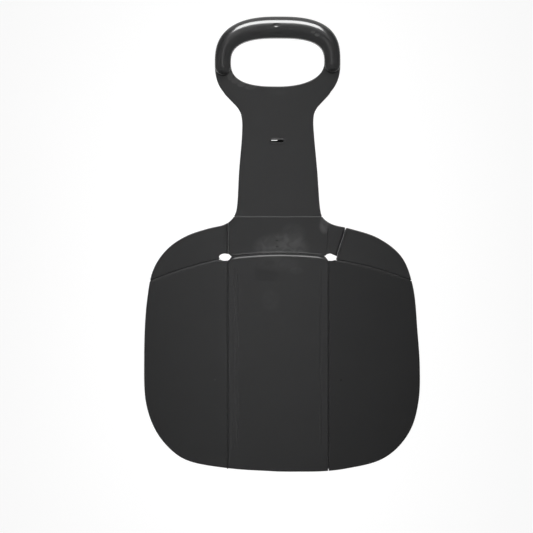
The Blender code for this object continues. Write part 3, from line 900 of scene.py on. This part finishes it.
def runTree(name, base, board, sockets, sizes, sharpAngle=creaseAngle):
    # Runs a tree on a base mesh and keeps the result as a plain mesh
    holder = addObject(name + "Base", base)
    modifier = holder.modifiers.new("nodes", "NODES")
    modifier.node_group = board.tree
    for label, value in sizes.items():
        modifier[sockets[label]] = value
    bpy.context.view_layer.update()
    mesh = bpy.data.meshes.new_from_object(holder.evaluated_get(bpy.context.evaluated_depsgraph_get()))
    bpy.data.objects.remove(holder, do_unlink=True)
    shape = bmesh.new()
    shape.from_mesh(mesh)
    bmesh.ops.remove_doubles(shape, verts=shape.verts, dist=weld * mm)
    bmesh.ops.dissolve_degenerate(shape, edges=shape.edges, dist=collapse * mm)
    bmesh.ops.recalc_face_normals(shape, faces=shape.faces)
    piece = placeMesh(name, shape, sharpAngle)
    piece.data.materials.clear()
    piece.data.materials.append([material for material in mesh.materials if material][-1])
    return piece


def pointMesh(name, points, z, joined=False):
    base = bpy.data.meshes.new(name)
    links = [(i, i + 1) for i in range(len(points) - 1)] if joined else []
    base.from_pydata([(x * mm, y * mm, z * mm) for x, y in points], links, [])
    return base


# Hinge strips: thin skins swept along each fold

skin = {"width": 1.3, "crossSteps": 12, "sideStep": 6, "neckStep": 4, "curvedStep": 3.2}
flex = 0.3  # how far from the fold's middle each strip's start and end of bend are placed
hinges = {  # finish, bottom, top, ends along the fold, bodies, node; then a curved one's arc and number of stretches
    # The side and flap strips take the painted fold shade.
    "leftSideHinge": ("foldPlastic", 0.1, 2.3, (-114.2, 110.3), "seat", "left_side", "left_wing_web"),
    "rightSideHinge": ("foldPlastic", 0.1, 1.5, (-114.2, 110.3), "seat", "right_side", "right_wing_web"),
    "neckHinge": ("creasePlastic", 2.4, 2.93, (-46.9, 46.9), "tongue", "handle", "neck_web"),
    "tongueHinge": ("hingePlastic", 0.08, 1.7, (-50.2, 50.2), "seat", "tongue", "tongue_web", "tongue", 8),
    "leftFlapHinge": (
        "foldPlastic", 0.1, 2.05, (-137.4, -63.6), "left_side", "left_nose", "left_flap_web", "left", 6,
    ),
    "rightFlapHinge": (
        "foldPlastic", 0.1, 2.05, (63.6, 143.2), "right_side", "right_nose", "right_flap_web", "right", 6,
    ),
}


def stripTree(material, sizes):
    board, values, sockets = nodeGroup("hingeStrip", sizes)
    path = board.add("GeometryNodeMeshToCurve", {"Mesh": values["Geometry"]})
    level = board.add("GeometryNodeSetCurveNormal", {"Curve": path}, mode="Z_UP")
    sides = {"Width": values["Width"], "Height": values["Thickness"]}
    section = board.add("GeometryNodeCurvePrimitiveQuadrilateral", sides)
    finer = board.add("GeometryNodeSubdivideCurve", {"Curve": section, "Cuts": values["Cross Steps"]})
    swept = board.add("GeometryNodeCurveToMesh", {"Curve": level, "Profile Curve": finer, "Fill Caps": True})
    closeTree(board, swept, material)
    return board, sockets


def stretchesOf(name, first, last, arc=None, count=1):  # name, points, start and end of the bend of each strip
    if name == "neckHinge":
        y = folds["neckY"]
        yield name, evenly([(first, y), (last, y)], skin["neckStep"]), (0, y - flex, 0), (0, y + flex, 0)
    elif not arc:
        side = -1 if name == "leftSideHinge" else 1
        x = side * folds["sideX"]
        points = evenly([(x, first), (x, last)], skin["sideStep"])
        yield name, points, (x - side * flex, 0, 0), (x + side * flex, 0, 0)
    else:
        for i in range(count):
            ends = [first + (last - first) * k / count for k in (i, i + 1)]
            around = [foldArc(arc, ends, offset, abs(ends[1] - ends[0]) / 2) for offset in (-flex, flex)]
            start, end = ((*line[len(line) // 2], 0) for line in around)
            yield f"{name}{i + 1}", foldArc(arc, ends, 0, skin["curvedStep"]), start, end


def makeHinges():
    trees, made = {}, 0
    for fold, (finish, bottom, top, ends, bodyA, bodyB, node, *curve) in hinges.items():
        sizes = {"Width": skin["width"] * mm, "Thickness": (top - bottom) * mm, "Cross Steps": skin["crossSteps"]}
        if finish not in trees:
            trees[finish] = stripTree(plastics[finish], sizes)
        for name, points, start, end in stretchesOf(fold, *ends, *curve):
            strip = runTree(name, pointMesh(name, points, (bottom + top) / 2, True), *trees[finish], sizes)
            [v * mm for v in start]
            [v * mm for v in end]
            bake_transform(strip)
            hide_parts(node)
            made += 1
    print("hinge strips:", made)


# Grip: a half-round bead along the ring, with rounded noses

grip = {
    "tips": {"Right": 314, "Left": 311.3},  # Y of the noses' tips
    "inset": 0.2,
    "height": 9.0,
    "round": 1.2,
    "domeTilt": 50,  # how steep the dome gets before it turns down into the sides
    "foot": 2.98,
    "noseRadius": 7.2,
    "noseLean": 2.4,  # how far the foot of a nose stands out beyond its top
    "noseShare": 0.07,  # of the stations, for each nose
    "easing": 0.08,  # brings stations closer together at the ends of the bow
    "baseShare": 0.14,  # of the section's points, for the flat base
    "sideShare": 0.1,  # of the climb to the top, for the upright side
    "roundShare": 0.34,  # of the climb, up to the end of the round
    "gate": {"x": -2.4, "y": 363.8, "radius": 2, "depth": 0.8},
    "stations": 400,
    "section": 58,
    "sharpAngle": 50,
    "weld": 0.003,
}


def pick(without, chosen, choice):
    return without + (chosen - without) * choice


def gripTree(material, sizes):
    board, values, sockets = nodeGroup("gripBead", sizes)

    def sine(angle):
        return board.maths("SINE", angle)

    def cosine(angle):
        return board.maths("COSINE", angle)

    grid = board.add("GeometryNodeMeshGrid", {
        "Size X": 1, "Size Y": 1, "Vertices X": values["Stations"], "Vertices Y": values["Section"],
    })
    gridX, gridY, _ = board.split(board.add("GeometryNodeInputPosition"))
    along, around = gridX + 0.5, gridY + 0.5
    share = grip["noseShare"]
    turn = (board.clamp(1 - along / share) + board.clamp(1 - (1 - along) / share)) * (pi / 2)
    alongBow = board.clamp((along - share) / (1 - 2 * share))
    eased = alongBow - grip["easing"] * sine(alongBow * (2 * pi))
    angle = pick(values["Start Angle"], values["End Angle"], eased)
    c, s = cosine(angle), sine(angle)
    atFront, atRight = s > 0, c > 0

    def powered(value, squareness):
        return board.maths("SIGN", value) * abs(value) ** (2 / squareness)

    def quarter(look, end):
        return pick(look["squareness"][end + "Left"], look["squareness"][end + "Right"], atRight)

    def rounded(look):
        squareness = pick(quarter(look, "rear"), quarter(look, "front"), atFront)
        reach = pick(look["rear"], look["front"], atFront)
        return look["x"] + look["halfWidth"] * powered(c, squareness), look["y"] + reach * powered(s, squareness)

    ringX, ringY = rounded(ring)
    openX, openY = rounded(opening)
    # Behind the middle both lines are taken at one distance along the sled, so that the noses end square
    below = board.maths("MAXIMUM", ring["y"] - ringY, 0)
    squareness = quarter(opening, "rear")
    legShare = (1 - (below / opening["rear"]) ** squareness) ** (1 / squareness)
    legX = opening["x"] + opening["halfWidth"] * board.maths("SIGN", c) * legShare
    openX = pick(legX, openX, atFront)
    openY = (opening["y"] - below) + (openY - opening["y"] + below) * atFront
    acrossX, acrossY = ringX - openX, ringY - openY
    width = board.maths("SQRT", acrossX * acrossX + acrossY * acrossY)
    middleX, middleY = (ringX + openX) * 0.5, (ringY + openY) * 0.5
    # Section: an upright side, a small round, a dome and the same again, then the flat base
    baseShare, sideShare, roundShare = grip["baseShare"], grip["sideShare"], grip["roundShare"]
    arch = board.clamp(around / (1 - baseShare))
    flat = board.clamp((around - 1 + baseShare) / baseShare)
    raised = 1 - (flat > 0)
    climb = 1 - abs(2 * arch - 1)  # 0 at both feet and 1 on top
    lean = radians(grip["domeTilt"])
    turned = board.clamp((climb - sideShare) / (roundShare - sideShare))
    domed = board.clamp((climb - roundShare) / (1 - roundShare))
    tilt = pi / 2 - (pi / 2 - lean) * turned - lean * domed
    half, radius = width * 0.5 - values["Inset"], values["Round"]
    domeRadius = (half - radius + radius * sin(lean)) / sin(lean)
    wall = values["Height"] - radius * cos(lean) - domeRadius * (1 - cos(lean))
    roundOut = half - radius + radius * sine(tilt)
    roundUp = wall * board.clamp(climb / sideShare) + radius * cosine(tilt)
    domeUp = wall + radius * cos(lean) + domeRadius * (cosine(tilt) - cos(lean))
    inRound = 1 - (climb > roundShare)
    side = board.maths("SIGN", 0.5 - arch)
    out = side * pick(domeRadius * sine(tilt), roundOut, inRound) + 2 * half * flat
    section = pick(domeUp, roundUp, inRound) * raised
    # Each nose is the section turned about the middle of the bead's end, with its foot standing out
    turnedIn, turnedOut = cosine(turn), sine(turn)
    spread = 1 + values["Nose Lean"] / half * turnedOut * turnedOut * (1 - section / values["Height"])
    beside, beyond = out * spread * turnedIn / width, abs(out) * spread * turnedOut
    placeX, placeY = middleX + acrossX * beside, middleY + acrossY * beside - beyond
    gate = grip["gate"]
    dimple = gate["depth"] * board.spot(placeX, placeY, gate["x"], gate["y"], gate["radius"], gate["radius"])
    up = section - dimple * raised
    place = {"X": placeX * mm, "Y": placeY * mm, "Z": (values["Foot"] + up) * mm}
    spot = board.add("ShaderNodeCombineXYZ", place)
    bead = board.add("GeometryNodeSetPosition", {"Geometry": grid, "Position": spot})
    welded = board.add("GeometryNodeMergeByDistance", {"Geometry": bead, "Distance": grip["weld"] * mm})
    closeTree(board, welded, material)
    return board, sockets


def dropOf(hand):  # the angle behind the ring's middle at which the bow ends
    end = grip["tips"][hand] + grip["noseRadius"] + grip["noseLean"]
    return asin(((ring["y"] - end) / ring["rear"]) ** (ring["squareness"]["rear" + hand] / 2))


def makeGrip(material):
    sizes = {
        "Start Angle": -dropOf("Right"), "End Angle": pi + dropOf("Left"), "Inset": grip["inset"],
        "Height": grip["height"], "Round": grip["round"], "Foot": grip["foot"], "Nose Lean": grip["noseLean"],
        "Stations": grip["stations"], "Section": grip["section"],
    }
    start = pointMesh("gripStart", [(0, 0)], 0)
    bead = runTree("gripBead", start, *gripTree(material, sizes), sizes, grip["sharpAngle"])
    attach(bead, "handle")
    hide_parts("grip")
    print("grip:", len(bead.data.polygons), "faces")


# Studs: stems through the ring and their heads on its underside

studs = {
    "angles": (0, 45, 90, 135, 180), "steps": 40,
    "headRadius": 4.2, "headHeight": 1, "headMiddle": 0.85, "dome": 0.25,
    "stemHole": 2.8, "stemRadius": 2.5, "stemTop": 3.3, "stemSteps": 28,
}


def studPlaces():
    angles = [radians(angle) for angle in studs["angles"]]
    return [mix(roundedPoint(ring, angle), roundedPoint(opening, angle), 0.5) for angle in angles]


def studTree(material, sizes):
    board, values, sockets = nodeGroup("gripStuds", sizes)
    head = board.add("GeometryNodeMeshCylinder", {
        "Vertices": studs["steps"], "Side Segments": 2, "Fill Segments": 5, "Radius": values["Head Radius"],
        "Depth": values["Head Height"],
    })
    x, y, z = board.split(board.add("GeometryNodeInputPosition"))
    radius = board.maths("SQRT", x * x + y * y) / values["Head Radius"]
    drop = board.add("ShaderNodeCombineXYZ", {"Z": (z < 0) * values["Dome"] * (radius * radius - 1)})
    domed = board.add("GeometryNodeSetPosition", {"Geometry": head, "Offset": drop})
    stem = board.add("GeometryNodeMeshCylinder", {
        "Vertices": studs["stemSteps"], "Radius": values["Stem Radius"], "Depth": values["Stem Length"],
    })
    lift = board.add("ShaderNodeCombineXYZ", {"Z": values["Stem Length"] * 0.5})
    raised = board.add("GeometryNodeTransform", {"Geometry": stem, "Translation": lift})
    stud = board.add("GeometryNodeJoinGeometry", {"Geometry": [domed, raised]})
    spread = board.add("GeometryNodeInstanceOnPoints", {"Points": values["Geometry"], "Instance": stud})
    closeTree(board, spread, material)
    return board, sockets


def makeStuds(material):
    sizes = {
        "Head Radius": studs["headRadius"] * mm, "Head Height": studs["headHeight"] * mm,
        "Stem Radius": studs["stemRadius"] * mm, "Stem Length": (studs["stemTop"] - studs["headMiddle"]) * mm,
        "Dome": studs["dome"] * mm,
    }
    points = pointMesh("studPoints", studPlaces(), studs["headMiddle"])
    heads = runTree("gripStuds", points, *studTree(material, sizes), sizes)
    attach(heads, "handle")
    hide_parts("grip")
    print("studs:", len(studPlaces()))


# Make everything

addCamera()
for name, look in softboxes.items():
    addSoftbox(name, look)
addFloor()
lightRoom()
bpy.context.scene.view_settings.view_transform = "Standard"
print("studio set")

plastics = {name: plastic(name) for name in finishes}
print("finishes:", len(plastics))

owners = {  # panel: node it stands for, body, slot, finishes
    "seatPanel": ("seat_panel", "seat", "sheet_plastic", ["sheetPlastic"]),
    "leftWing": ("left_wing", "left_side", "sheet_plastic", ["sheetPlastic"]),
    # The right wing takes the copy of the sheet's plastic with painted shade.
    "rightWing": ("right_wing", "right_side", "sheet_plastic", ["wingPaintedShade"]),
    "leftFlap": ("left_flap", "left_nose", "sheet_plastic", ["sheetPlastic"]),
    "rightFlap": ("right_flap", "right_nose", "sheet_plastic", ["sheetPlastic"]),
    "tonguePanel": ("tongue_panel", "tongue", "tongue_plastic", ["tonguePlastic"]),
    "neckPanel": ("neck_panel", "handle", "sheet_plastic", ["sheetPlastic", "slotShade"]),
}
for panel in makePanels():
    node, body, slotName, panelFinishes = owners[panel.name]
    for finish in panelFinishes:
        panel.data.materials.append(plastics[finish])
    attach(panel, body)
    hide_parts(node)
makeHinges()
makeGrip(plastics["gripPlastic"])
makeStuds(plastics["gripPlastic"])
